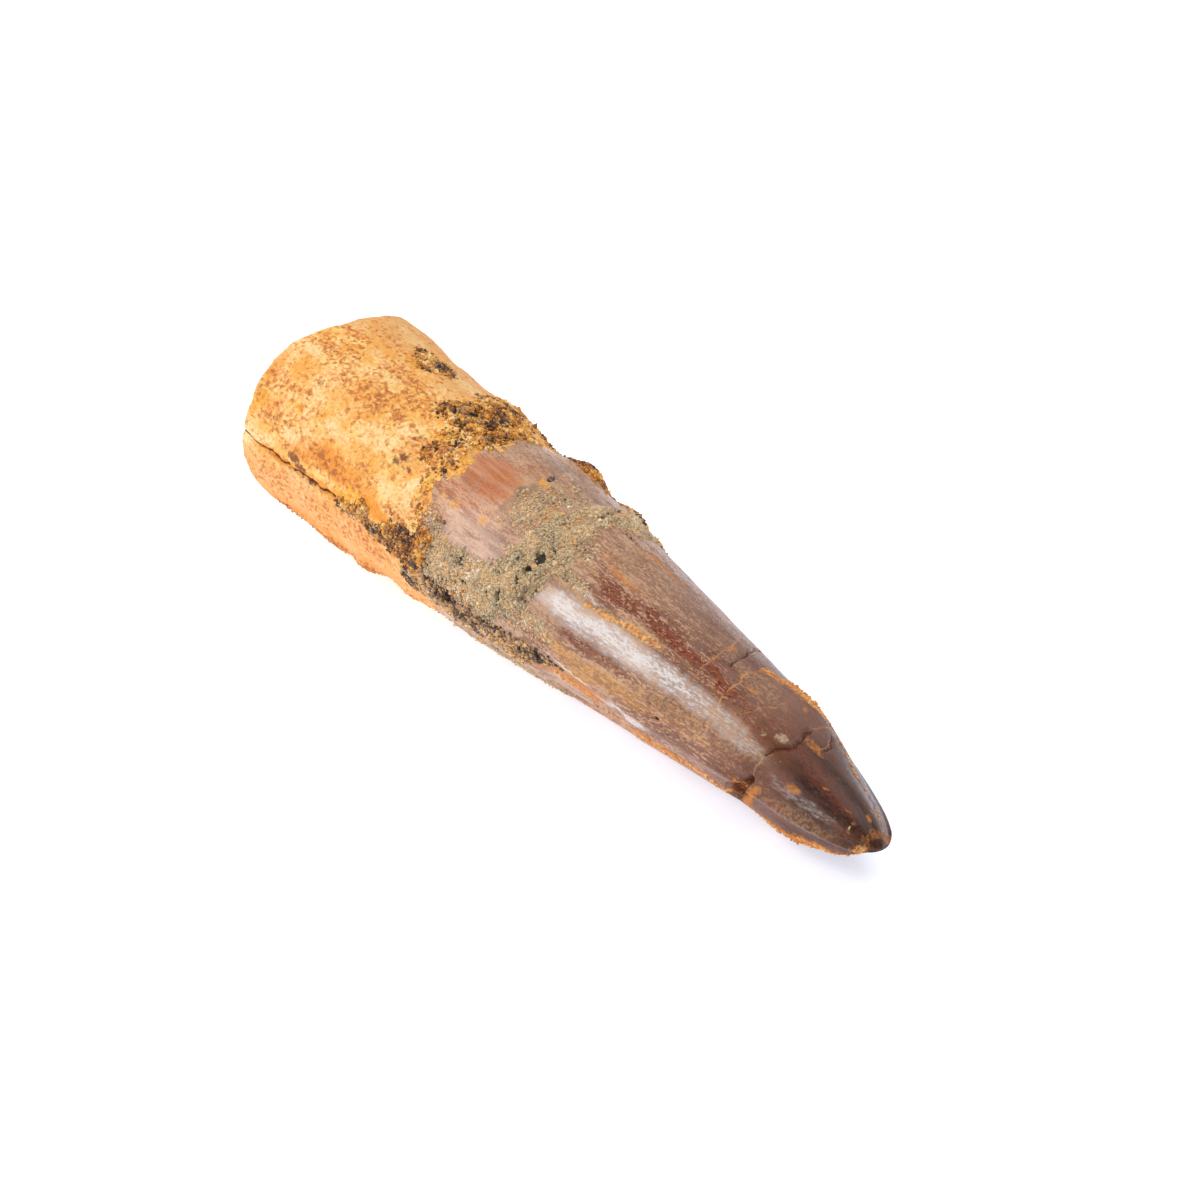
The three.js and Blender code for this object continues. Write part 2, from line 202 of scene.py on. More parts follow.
# Where each kind of surface lies, as patches: along, turn, half length, half width in degrees, strength.
areas = {
    "sand": [
        (36.5, 167, 6.4, 15, 1), (33, 174, 3, 9, 0.8), (31, 152, 1.6, 6, 0.4), (41, 160, 3.2, 13, 0.95),
        (44.6, 166, 2.6, 10, 0.5), (47.4, 168, 2.6, 10, 0.3), (43.4, 138, 2.9, 14, 1),
        (43.6, 118, 2.8, 12, 0.95), (43, 100, 2.7, 12, 0.85), (42.9, 82, 1.7, 12, 0.7),
        (43.4, 66, 1.8, 10, 0.65), (44.8, 57, 1.6, 8, 0.5), (47.8, 126, 3.4, 4, 0.6),
        (38.6, 106, 2.4, 16, 0.42), (38.5, 88, 2.6, 6, 0.36), (39, 74, 3, 8, 0.22),
        (46.2, 104, 2.2, 8, 0.3), (43.5, 30, 2.8, 30, 0.9), (40, 240, 9, 26, 0.8), (38, 300, 8, 44, 0.9),
        (35, 345, 7, 24, 0.7),
    ],
    "crust": [
        (29.6, 190, 2.2, 9, 0.8), (33, 191, 3.4, 10, 1), (38, 195, 4, 8, 0.95), (43, 195, 3.6, 7, 0.9),
        (47.2, 187, 3.4, 5, 0.85), (50, 184, 1.6, 3.5, 0.7), (31.2, 180, 2.4, 6, 0.75),
        (40, 186, 5, 6, 0.55), (36, 178, 3, 6, 0.5), (34.8, 184, 1.4, 4, 1), (27, 168, 2, 7, 0.62),
        (18.8, 175, 2, 3.5, 0.6), (21, 171, 1.6, 5, 0.62), (24, 173, 2.6, 5, 0.66),
        (35.5, 158, 0.9, 3, 0.6), (37.2, 160.5, 1, 1.2, 0.5), (36.9, 168, 0.8, 1.4, 0.7),
        (38.6, 174, 0.6, 2, 0.45), (41, 164, 0.5, 3, 0.6), (30.8, 145, 0.7, 2, 0.5),
        (43.6, 125, 0.5, 1.5, 0.5), (45.1, 121, 0.9, 1.5, 0.55), (42.5, 98, 0.8, 3, 0.45),
        (43.3, 82, 0.4, 3, 0.5), (43.8, 148, 0.5, 2, 0.5), (41.2, 147.5, 0.5, 1.2, 0.5),
        (13.4, 69, 1.7, 6, 0.85), (22, 86, 1.8, 5, 0.7), (24.2, 85, 1.4, 4, 0.7), (25.3, 72, 1, 6, 0.75),
        (27.3, 94.5, 0.9, 3, 0.8), (23, 92, 1.4, 3, 0.55), (20.4, 67, 1.2, 3, 0.6), (26, 106, 1, 3, 0.34),
        (26.6, 112, 0.8, 3, 0.34), (22, 57, 2.2, 3, 0.6),
    ],
    "earth": [
        (22, 91, 2.6, 8, 0.95), (24.5, 82, 3.6, 13, 1), (25.8, 68, 2.4, 10, 1), (22, 62, 2.8, 10, 0.85),
        (22, 50, 3, 8, 0.8), (27.4, 96, 1.4, 5, 0.85), (25.4, 103, 2.2, 4, 0.42), (26.4, 113, 2.2, 7, 0.32),
        (27.4, 62, 1.4, 6, 0.75), (12.8, 70, 2.7, 7.5, 0.8), (10.4, 66, 1.8, 5, 0.5),
        (27.2, 128, 1.4, 16, 0.28), (24.6, 118, 1.6, 8, 0.34), (29, 150, 1.2, 8, 0.36),
        (18.6, 174, 1.9, 4, 0.75), (20.8, 170, 1.3, 7, 0.9), (23.6, 174, 2.4, 5, 0.75),
        (26.6, 170, 2.4, 10, 0.95), (29.2, 172, 2.4, 11, 0.95), (30.4, 159, 1.3, 6, 0.7),
        (33.4, 39, 3.6, 9, 0.9), (35.6, 28, 3, 9, 0.5), (31, 24, 3.4, 9, 0.48), (41.2, 37, 2.4, 7, 0.8),
        (45, 29, 2, 8, 0.5), (24.5, 30, 3, 10, 0.5), (33, 290, 4, 16, 0.62), (28, 308, 3.4, 12, 0.56),
        (37, 318, 3, 10, 0.5), (24, 292, 2.2, 9, 0.5), (19, 340, 3.2, 10, 0.62), (22.6, 328, 3, 9, 0.58),
        (14.6, 346, 3, 7, 0.46), (26, 348, 2.4, 9, 0.5),
    ],
    "dirt": [
        (5, 214, 4, 7, 0.7), (12.5, 219, 4, 8, 1), (18.5, 221, 2.6, 7, 1), (26.5, 222, 4, 9, 0.5),
        (53, 197, 3.4, 5, 0.5), (58, 206, 4, 4, 0.45), (66, 206, 6, 6, 0.6), (73, 209, 3, 5, 0.6),
        (83.5, 222, 6, 9, 1), (89.5, 225, 2, 12, 0.8), (91.2, 200, 1.2, 30, 0.5), (71, 62, 1.2, 5, 0.7),
        (72.2, 54, 1.2, 6, 0.8), (74.4, 46, 3, 6, 0.9), (82, 40, 6, 4, 0.6), (89, 40, 2, 5, 0.5),
        (60, 285, 10, 18, 0.5),
    ],
    "yellow": [
        (17.4, 171, 1.3, 5, 0.95), (19, 164, 1.1, 4, 0.8), (25.8, 72, 2.4, 9, 0.55),
        (28.2, 106, 0.8, 6, 0.5), (26.8, 117, 2.4, 6, 0.6), (24.4, 108, 1.6, 5, 0.5),
        (27.6, 135, 0.9, 4, 0.75), (27, 125, 1, 6, 0.6), (28.6, 146, 0.8, 6, 0.5),
        (30.6, 134, 0.9, 3, 0.45), (6.6, 142, 1.2, 2.5, 0.8), (1.6, 150, 1.2, 8, 0.6),
        (11.5, 78, 1.6, 3, 0.8), (37, 87, 1.4, 2, 0.8), (35.8, 85, 0.8, 1.5, 0.6), (38.2, 108, 1.2, 3, 0.5),
        (35.4, 128, 0.7, 3, 0.8), (44.2, 97, 0.4, 3, 0.7), (41.6, 130, 0.5, 2, 0.9),
        (44.9, 131.5, 0.3, 1.2, 0.9), (42, 103, 0.3, 1.5, 0.8), (28, 79, 0.8, 5, 0.7),
    ],
    "orange": [
        (22.5, 162, 2.8, 4, 0.95), (24.8, 163, 1.6, 2.4, 0.8), (21, 157, 1.6, 4, 0.6),
        (10.2, 160, 2.2, 6, 0.6), (7.5, 172.6, 4.6, 2.4, 0.8), (14, 172.6, 3, 2.4, 0.8),
        (15, 156, 5, 8, 0.8), (3, 148, 1.6, 4, 0.6), (4, 124, 2.4, 7, 0.4), (12, 122, 3.4, 8, 0.34),
        (17.6, 142, 3.6, 7, 0.4), (23.6, 126, 3, 9, 0.42), (8, 88, 3, 6, 0.36), (16, 12, 4, 10, 0.5),
        (5, 340, 4, 12, 0.45), (22, 300, 4, 14, 0.4), (0.8, 130, 0.9, 9, 0.6), (8, 216, 9, 12, 0.6),
        (20, 222, 7, 12, 0.45), (53.5, 190, 4.4, 8, 0.85), (48.5, 196, 3, 3, 0.6), (64.5, 203, 5, 7, 0.7),
        (72, 206, 4, 8, 0.42), (83.5, 218, 7.5, 12, 0.7), (52.3, 99, 2.3, 3.5, 0.62), (49, 97, 1.6, 2, 0.4),
        (71, 65, 1.2, 5, 0.8), (71.8, 57, 1, 5, 0.7), (73, 50, 2.4, 8, 0.5), (82.8, 144, 1.2, 5.5, 0.6),
        (80.8, 89, 1.2, 6, 0.55), (90.2, 91, 0.5, 7, 0.8), (89.9, 128, 0.3, 6, 0.5),
        (89.8, 148, 0.3, 4, 0.4), (76.2, 62, 0.35, 4, 0.65), (91.7, 180, 0.5, 150, 0.42),
        (85.6, 116, 0.4, 2, 0.55), (88.5, 119, 0.4, 2.5, 0.55), (71.5, 93, 0.8, 2, 0.6),
        (70.1, 91, 0.5, 3, 0.5), (70.3, 79, 0.4, 2.5, 0.5), (65.7, 81, 0.5, 4, 0.55),
        (66.3, 99, 0.5, 4, 0.42), (76.6, 178, 0.5, 3, 1), (76.3, 190, 0.4, 3, 0.9),
        (91.8, 50, 0.6, 50, 0.45), (65, 173, 0.5, 2.4, 0.6), (56, 290, 9, 20, 0.6),
    ],
    "rust": [
        (32.4, 108, 3.8, 13, 0.75), (34.6, 104, 1.2, 8, 0.7), (31, 126, 2.6, 8, 0.4),
        (34.4, 86, 1.6, 8, 0.35),
    ],
    "salmon": [(33, 118, 5, 26, 0.8), (36.5, 146, 4, 10, 0.5)],
    "golden": [(56.5, 170, 6.8, 7, 0.9), (62.5, 170, 2.2, 5, 0.45), (52, 20, 6, 16, 0.6)],
    "red": [
        (56, 111, 7, 7, 0.75), (63, 111, 6, 6, 1.1), (68.6, 111, 3.2, 5, 1.2), (72, 110, 1.8, 4, 0.6),
        (60, 105, 4, 3, 0.7), (77.5, 106, 1.6, 6, 0.4), (56, 156, 6, 4, 0.6), (50, 158, 3, 4, 0.4),
        (48.2, 175, 2.2, 5, 0.5), (81.5, 172, 1.5, 4, 0.6), (81, 193, 2, 5, 0.5), (84.6, 112, 5, 12, 0.42),
        (87.6, 122, 2.4, 8, 0.45), (74, 128, 3, 5, 0.35), (66, 350, 14, 16, 0.6),
    ],
    # the whitish streak along the crown and by the tip: partly pale patina, partly a painted highlight
    "paleAndHighlight": [
        (51.5, 142, 6, 10, 0.5), (57, 139.5, 7, 10, 0.58), (63, 137, 6, 10, 0.52), (68.5, 136, 5, 11, 0.42),
        (50.5, 142, 3.2, 4.5, 0.8), (55, 140, 4.2, 4, 0.95), (59.6, 138, 2.8, 4.5, 0.9),
        (63.6, 136, 2, 3.5, 0.75), (66.2, 134.5, 1.4, 4, 0.68), (69, 133, 1, 3, 0.55),
        (36, 140, 4.6, 14, 0.2), (39.2, 152, 1.2, 3, 0.6), (58, 191, 2.6, 3, 0.6), (61.5, 188, 2.6, 5, 0.6),
        (51, 125, 2.6, 1.5, 0.6), (84, 152, 5, 8, 0.24), (73, 137, 5, 11, 0.34), (66, 320, 9, 14, 0.4),
    ],
    "cream": [
        (8, 157, 1.5, 4.5, 0.95), (13.6, 141, 2.4, 4.5, 0.8), (18, 129, 3, 7, 0.6),
        (19.7, 115.5, 1.2, 4, 1), (25.9, 137, 0.7, 4, 1.3), (3.4, 113, 1.1, 3, 0.85),
        (1.6, 172, 1.6, 5, 0.8), (4, 167, 2.6, 4, 0.6), (24, 146, 3, 5, 0.6), (8, 128, 2, 4, 0.5),
        (9, 92, 2, 4, 0.6), (17, 64, 3, 6, 0.6), (6, 62, 3, 6, 0.5), (22.3, 133.5, 0.9, 3, 0.5),
        (9, 22, 3, 8, 0.6), (17, 352, 3.4, 8, 0.6), (6, 318, 3, 10, 0.5), (15, 275, 4, 12, 0.5),
        (26.6, 87, 0.5, 2, 0.9), (43, 161, 0.8, 4, 1), (78.2, 111, 0.5, 4, 0.52),
        (76.7, 120, 0.32, 2.4, 0.5),
    ],
    "grey": [
        (36.3, 106, 0.7, 14, 0.8), (36, 93, 0.6, 4, 0.65), (33.6, 70, 2, 3.5, 0.6),
        (34.4, 62, 2.4, 4, 0.45), (35, 75, 1, 3, 0.55), (31, 149, 1.4, 4, 0.55), (37.5, 151, 2, 2, 0.55),
        (47.5, 124.5, 2, 1.2, 0.5), (38.5, 120, 2, 3, 0.45),
    ],
    "spots": [
        (21.9, 133, 0.7, 2.2, 0.9), (23.2, 133.5, 0.4, 1.2, 0.8), (24, 132, 0.4, 1.5, 0.8),
        (22.4, 128.5, 0.7, 1.8, 0.9), (21.8, 117, 0.35, 1.8, 0.7), (22.4, 113, 0.8, 1.2, 0.55),
        (24.5, 112, 0.6, 1.2, 0.55), (27.4, 138, 0.5, 1.5, 0.6), (27.9, 146, 0.3, 1.5, 0.7),
        (26.9, 147, 0.3, 1.2, 0.6), (29.2, 152, 0.4, 1.5, 0.55), (25, 157, 0.4, 1.2, 0.6),
        (4.8, 154, 0.5, 2.5, 0.45), (12.8, 163, 0.6, 2, 0.45), (7.5, 124, 0.5, 2.5, 0.45),
        (9.2, 167, 0.8, 2.4, 0.95), (10.4, 170.5, 1, 2.2, 0.95), (12.2, 174.5, 0.8, 1.6, 0.95),
    ],
    "specks": [
        (4.2, 106, 2.8, 5, 0.6), (9, 113, 2, 5, 0.6), (14.5, 112, 4.6, 7, 0.75), (18.2, 100, 2.6, 6, 0.75),
        (6.5, 100, 2, 5, 0.55), (5.5, 134, 2.8, 3.5, 0.5), (10.4, 138, 1.2, 3, 0.55),
        (15, 123, 2.5, 3, 0.42), (3.5, 90, 3, 5, 0.5), (13.5, 92, 4.5, 6, 0.62), (28, 146, 1.8, 11, 0.6),
        (29.2, 134, 1.2, 6, 0.5), (25.6, 154, 1.8, 4, 0.6), (23.6, 119, 2, 6, 0.6), (26.6, 112, 2, 8, 0.6),
        (14, 157, 5, 6, 0.7), (9.5, 163, 3, 4, 0.6), (5, 152, 3.4, 7, 0.6), (2, 138, 1.6, 8, 0.5),
        (19.5, 150, 2, 5, 0.42), (7, 78, 3, 4, 0.42), (22.5, 188, 3, 8, 0.65), (19.5, 182, 3, 5, 0.55),
        (14, 190, 6, 8, 0.36), (6, 190, 5, 10, 0.3), (7, 6, 4, 16, 0.5), (14, 32, 4.6, 12, 0.75),
        (21, 4, 4.6, 16, 0.6), (12, 338, 4.4, 14, 0.5), (18, 305, 6, 18, 0.6), (9, 288, 5, 18, 0.5),
        (7, 255, 4, 16, 0.45),
    ],
    "dust": [
        (52, 84, 8, 16, 0.34), (62, 80, 6, 14, 0.24), (48, 112, 3, 8, 0.45), (66, 156, 6, 12, 0.45),
        (74, 140, 5, 16, 0.4), (48, 160, 2.6, 10, 0.65), (72, 84, 4, 12, 0.42), (84, 176, 5, 13, 0.4),
        (38, 100, 4, 26, 0.5), (33, 80, 3, 14, 0.25), (58, 165, 6, 12, 0.35),
    ],
    "pit": [
        (44.2, 127, 0.6, 3.4, 1), (43.8, 136, 0.4, 2.5, 1), (42.8, 67, 0.6, 4.5, 1),
        (43.4, 76, 0.3, 3.5, 0.9), (45.8, 143, 0.25, 5, 0.8), (43.6, 147, 0.3, 2, 0.8),
        (44.7, 116.5, 0.3, 1.6, 0.9), (42.1, 162, 0.24, 4, 1), (35, 184, 0.6, 3.5, 1),
        (37.2, 168, 0.5, 1.4, 0.8), (36, 171, 0.3, 1.4, 0.7), (65, 172.5, 0.3, 2.2, 0.8),
        (62.2, 178, 0.4, 1.6, 0.6), (63.9, 163, 0.2, 1.6, 0.6), (25.4, 72, 0.9, 5, 0.9),
        (23.2, 83, 0.7, 3, 0.9), (24.6, 76, 0.5, 3, 0.8), (21.8, 90, 0.5, 3, 0.8), (26.2, 84, 0.5, 3, 0.8),
        (35.7, 80, 0.4, 2.6, 0.8),
    ],
}
steadyAreas = ("pit", "spots", "paleAndHighlight")

# Hair cracks: the full width of the opening in millimetres, and a path of (along, turn) points.
lines = {
    "crack": [
        (0.38, [(5, 173), (9, 174), (12, 173.6), (16.6, 172.4)]),
        (0.2, [(-1.5, 171), (2, 171.6), (5, 173)]),
        (0.24, [(67.9, 93), (67.3, 82), (66.8, 70), (66.4, 62), (65.8, 52), (65, 38)]),
        (0.28, [(78.2, 136), (78.7, 122), (79.4, 110), (79.6, 98), (79, 89), (78.8, 78)]),
        (0.16, [(81.4, 78), (81, 66), (79.9, 54)]),
    ],
    "seam": [
        (0.26, [(78.2, 166), (78.1, 150), (78.2, 136)]),
        (0.26, [(78.8, 78), (78.6, 62), (78.4, 50)]),
        (0.26, [(71, 160), (70.9, 142), (70.6, 130), (70.4, 115), (70.3, 101), (69.8, 86)]),
        (0.22, [(66.6, 122), (66.3, 100), (65.9, 82), (65, 70), (63.6, 58)]),
        (0.18, [(73.2, 120), (74, 104), (74.8, 92)]),
        (0.12, [(81.6, 92), (81.3, 80), (80.6, 66), (79.9, 54)]),
    ],
    "ledge": [(0.34, [(49, 177), (52, 178.5), (56, 180), (58, 184), (60, 190)])],
}
# Narrow strips that strengthen a mask: half width in millimetres, strength, path.
besideStreak = [(51.5, 130), (54.5, 128.5), (56, 127), (58, 124), (61.2, 121.5)]
strips = [
    ("dirt", 0.42, 0.8, besideStreak),
    ("dust", 0.9, 1.0, besideStreak),
    ("dust", 0.7, 0.8, [(46, 127), (50, 131), (53.5, 129.5)]),
    ("orange", 0.32, 0.75, [(49.5, 66), (52, 67), (55.2, 66.6)]),
    ("crust", 0.25, 0.7, [(45.8, 69.5), (49.2, 69)]),
    ("orange", 0.6, 1.1, [(76.7, 214), (77.5, 198), (78.3, 184), (78.8, 174)]),
]
chip = {
    "path": [(74.9, 212), (75.8, 196), (76.7, 184), (77.4, 174), (78, 164)],
    "halfWidth": 1.25,
    "narrowEnd": 0.3,
    "widens": (166, 196),
    "edge": (1.0, 0.5),
    "depth": 1.1,
}
flake = {"along": (47, 61), "alongFade": (2, 1.5), "turn": (180, 230), "turnFade": (4, 6), "depth": 0.45}
carina = {"turns": (2, 181), "rise": (44, 56), "height": 0.35, "width": 6}
crackShape = {"depthPerWidth": 1.2, "walls": (0.32, 0.08)}
pitDepth = 0.38

# The border between bone and enamel: a place along, and steps of it by turn (amount, start, end).
neck = {"along": 28.4, "steps": [(1.6, 112, 150), (-1.0, 90, 60)], "fade": 0.7}
# Darkness of the enamel: steps along the tooth, less two lighter bands past turn 150, the one near the tip
# a painted highlight (amount, turns, places along).
shade = {
    "least": 0.12,
    "steps": [(0.2, 34, 56), (0.22, 56, 68), (0.42, 75, 84)],
    "lighterAndHighlight": [(0.14, (138, 160), (78, 70)), (0.14, (130, 152), (77, 81))],
    "blotches": 0.16,
}
polished = {"rise": (66, 80), "duller": 0.3, "dullerFrom": (140, 165)}
# A grey-mauve tone on the right flank of the crown, partly the enamel's own tone and partly a painted
# sheen.
mauveAndSheen = {"rise": (46, 60), "turns": (112, 72), "narrower": 16, "narrows": (76, 82), "farTurns": (0, 20)}
flanks = {"near": (172, 182), "far": (96, 70), "wander": 4}
degreesPerRadian = 57.3
# Noises that move the borders of the masks: cells and shifts in millimetres.
drift = {
    "cell": 2.4,
    "fineCell": 0.7,
    "looseCell": 1.6,
    "slight": 0.3,
    "fineAlong": 0.2,
    "fineTurn": 0.25,
    "strip": 0.4,
    "stripWidth": 0.6,
    "neck": 1.5,
    "neckFine": 0.5,
}


def wandered(along, turn):
    # the place of each point in space, two noises that move the borders, and the degrees in a millimetre
    side, height = axisAt(along)
    width = halfWidthAt(along)
    angle = np.radians(turn)
    place = np.stack([along, side + width * np.cos(angle), height + width * np.sin(angle)], axis=1)
    degree = degreesPerRadian / np.maximum(width, leastWidth["drift"])
    cell = drift["cell"]
    return place, fractalNoise(place, cell, 4, 11), fractalNoise(place, cell, 4, 23), degree


def surveyed(along, turn):
    # every mask of the surface, from 0 to about 1, and the distance to each family of lines and its width
    place, shift, lift, degree = wandered(along, turn)
    fine = latticeNoise(place, drift["fineCell"], 29)
    fineLift = latticeNoise(place, drift["fineCell"], 37)
    moved = along + shift, turn + lift * degree
    slight = (
        along + drift["slight"] * shift + drift["fineAlong"] * fine,
        turn + (drift["slight"] * lift + drift["fineTurn"] * fineLift) * degree,
    )
    masks = {
        name: patches(*(slight if name in steadyAreas else moved), items) for name, items in areas.items()
    }

    # the strips colour the dirt, and only the dirt before them is heaped up
    masks["heap"] = masks["dirt"]
    loose = 1 + drift["stripWidth"] * latticeNoise(place, drift["looseCell"], 43)
    little = along + drift["strip"] * shift, turn + drift["strip"] * lift * degree
    for name, halfWidth, strength, path in strips:
        gap = pathField(*little, path)[0]
        masks[name] = np.maximum(masks[name], strength * bell(gap / (halfWidth * loose)))
    for name, family in lines.items():
        masks[name + "Side"], masks[name + "Width"] = lineField(*slight, family)
    gap = np.abs(pathField(*slight, chip["path"])[0])
    chipWidth = chip["narrowEnd"] + (1 - chip["narrowEnd"]) * smooth(*chip["widens"], turn)
    masks["chip"] = smooth(*chip["edge"], gap / (chip["halfWidth"] * chipWidth))

    border = neck["along"] + sum(step * smooth(low, high, turn) for step, low, high in neck["steps"])
    past = moved[0] - border + drift["neck"] * shift + drift["neckFine"] * fine
    masks["crown"] = smooth(-neck["fade"], neck["fade"], past)
    duller = polished["duller"] * smooth(*polished["dullerFrom"], turn)
    masks["polish"] = smooth(*polished["rise"], along) * (1 - duller)
    dusk = shade["least"] + sum(step * smooth(low, high, along) for step, low, high in shade["steps"])
    # two lighter bands; the one near the tip is a painted highlight
    for amount, turns, places in shade["lighterAndHighlight"]:
        dusk -= amount * smooth(*turns, turn) * smooth(*places, along)
    masks["dusk"] = dusk + shade["blotches"] * shift
    narrower = mauveAndSheen["narrower"] * smooth(*mauveAndSheen["narrows"], along)
    rise = smooth(*mauveAndSheen["rise"], along) * smooth(*mauveAndSheen["farTurns"], turn)
    masks["mauveAndSheen"] = rise * smooth(mauveAndSheen["turns"][0] - narrower, mauveAndSheen["turns"][1], turn)
    leaned = turn + flanks["wander"] * lift
    masks["side"] = smooth(*flanks["near"], leaned) + smooth(*flanks["far"], leaned)
    masks["place"] = place
    return masks


def crackDepth(masks):
    opening = smooth(*crackShape["walls"], np.abs(masks["crackSide"]))
    return crackShape["depthPerWidth"] * masks["crackWidth"] * opening


# Fine relief: height and cell in millimetres, octaves, seed, and how much it is drawn out along the tooth.
textures = {
    "bone": (0.1, 1.8, 4, 31, 1),
    "pores": (0.03, 0.35, 1, 47, 1),
    "fibres": (0.02, 0.55, 2, 53, 0.09),
    "swells": (0.05, 4.0, 2, 59, 1),
    "crust": (0.26, 1.1, 3, 61, 1),
    "heap": (0.08, 0.8, 3, 67, 1),
}
coverHeight = {"sandShare": 0.7, "crust": 0.1, "heap": 0.05}
waveFade = {"share": 0.85, "along": (26, 48)}


def reliefOf(along, turn, masks):
    # outward height of the surface in millimetres: mounds, waves and grain, less cracks, chip and pits
    place = masks["place"]
    crown = masks["crown"]

    def texture(name):
        height, cell, octaves, seed, drawn = textures[name]
        return height * fractalNoise(place * (drawn, 1, 1), cell, octaves, seed)

    relief = sum(
        height * bell((along - at) / length) * bell(turnGap(turn, angle) / width)
        for at, angle, length, width, height in mounds
    )
    angle = np.radians(turn)
    unevenness = sum(h * np.sin(rate * along + count * angle + phase) for rate, count, phase, h in waves)
    relief += unevenness * (1 - waveFade["share"] * smooth(*waveFade["along"], along))
    relief += (1 - crown) * (texture("bone") + texture("pores"))
    relief += crown * (texture("fibres") + texture("swells"))
    cover = np.maximum(masks["sand"] * coverHeight["sandShare"], np.maximum(masks["crust"], masks["earth"]))
    relief += cover * (coverHeight["crust"] + texture("crust"))
    relief += masks["heap"] * (coverHeight["heap"] + texture("heap"))
    edge = bell(np.min([turnGap(turn, at) for at in carina["turns"]], axis=0) / carina["width"])
    relief += carina["height"] * smooth(*carina["rise"], along) * edge
    relief -= crackDepth(masks) + chip["depth"] * masks["chip"] + pitDepth * masks["pit"]
    flaked = 1
    for value, key in ((along, "along"), (turn, "turn")):
        (low, high), (lowFade, highFade) = flake[key], flake[key + "Fade"]
        flaked = flaked * smooth(low, low + lowFade, value) * smooth(high, high - highFade, value)
    relief -= flake["depth"] * flaked
    return relief * np.clip(halfWidthAt(along) / form["tipFullness"], 0, 1)


def skinPoints(along, turn, relief):
    # ellipse about the axis, pushed out by the relief and flattened where it rests and under the tip
    side, height = axisAt(along)
    width = halfWidthAt(along)
    angle = np.radians(turn)
    worn = np.maximum(0, form["facetHeight"] + form["facetSlope"] * (along - form["facetStart"]))
    low = height + (width * form["roundness"] + relief) * np.sin(angle)
    return np.stack(
        [along, side + (width + relief) * np.cos(angle), np.maximum(low, np.minimum(worn, height))], axis=1
    )


# The tip of the CAD body says where the row frame lies.
cadPoints = np.array([v.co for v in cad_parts["tooth"].data.vertices]) / mm
cadTip = cadPoints[cadPoints[:, 0].argmax()]
tipSide, tipHeight = axisAt(np.array([form["length"]]))
origin = np.array([form["length"], tipSide[0], tipHeight[0]]) - cadTip

skin = {
    "columns": 224,
    "turnBias": 0.22,
    "biasTowards": 135,
    "endRings": 44,
    "rootRows": 176,
    "crownRows": 200,
    "tipRows": 12,
    "rootRowsEnd": 46.0,
    "crownRowsEnd": 91.0,
    "cavityRadius": 0.46,
    "cavityLip": 0.07,
    "cavityDepth": 1.6,
    "cavitySide": -1.2,
    "cavityUp": 0.7,
    "rimRounding": 0.45,
    "rimRaggedness": 0.22,
    "rimStart": 0.35,
    "tipGap": 0.02,
}


def meshObject(name, points, faces, attributes):
    mesh = bpy.data.meshes.new(name)
    mesh.from_pydata(((points - origin) * mm).tolist(), [], faces)
    for key, values in attributes.items():
        isColour = np.ndim(values) == 2
        attribute = mesh.attributes.new(key, "FLOAT_COLOR" if isColour else "FLOAT", "POINT")
        attribute.data.foreach_set("color" if isColour else "value", np.asarray(values, np.float32).ravel())
    mesh.polygons.foreach_set("use_smooth", [True] * len(mesh.polygons))
    mesh.update()
    made = bpy.data.objects.new(name, mesh)
    bpy.context.collection.objects.link(made)
    return made


# The broken root end. Ring shares run from its middle, 0, to the rim, 1; other sizes are in millimetres.
brokenFace = {
    "middleDepth": 1.1,
    "wander": 0.06,
    "roughness": 0.9,
    "roughUntil": (1.0, 0.85),
    "rounding": (0.93, 1),
    "paleRings": [(0.8, 0.05), (0.6, 0.03)],
    "creamRing": (0.7, 0.06),
    "lipRing": 0.04,
    "cracks": [(62, 0.3), (171, 0.34), (233, 0.24), (318, 0.3)],
    "crackRings": (0.42, 0.6),
    "crackWander": 0.25,
    "crackReach": 1.2,
    "sideTint": 0.8,
}


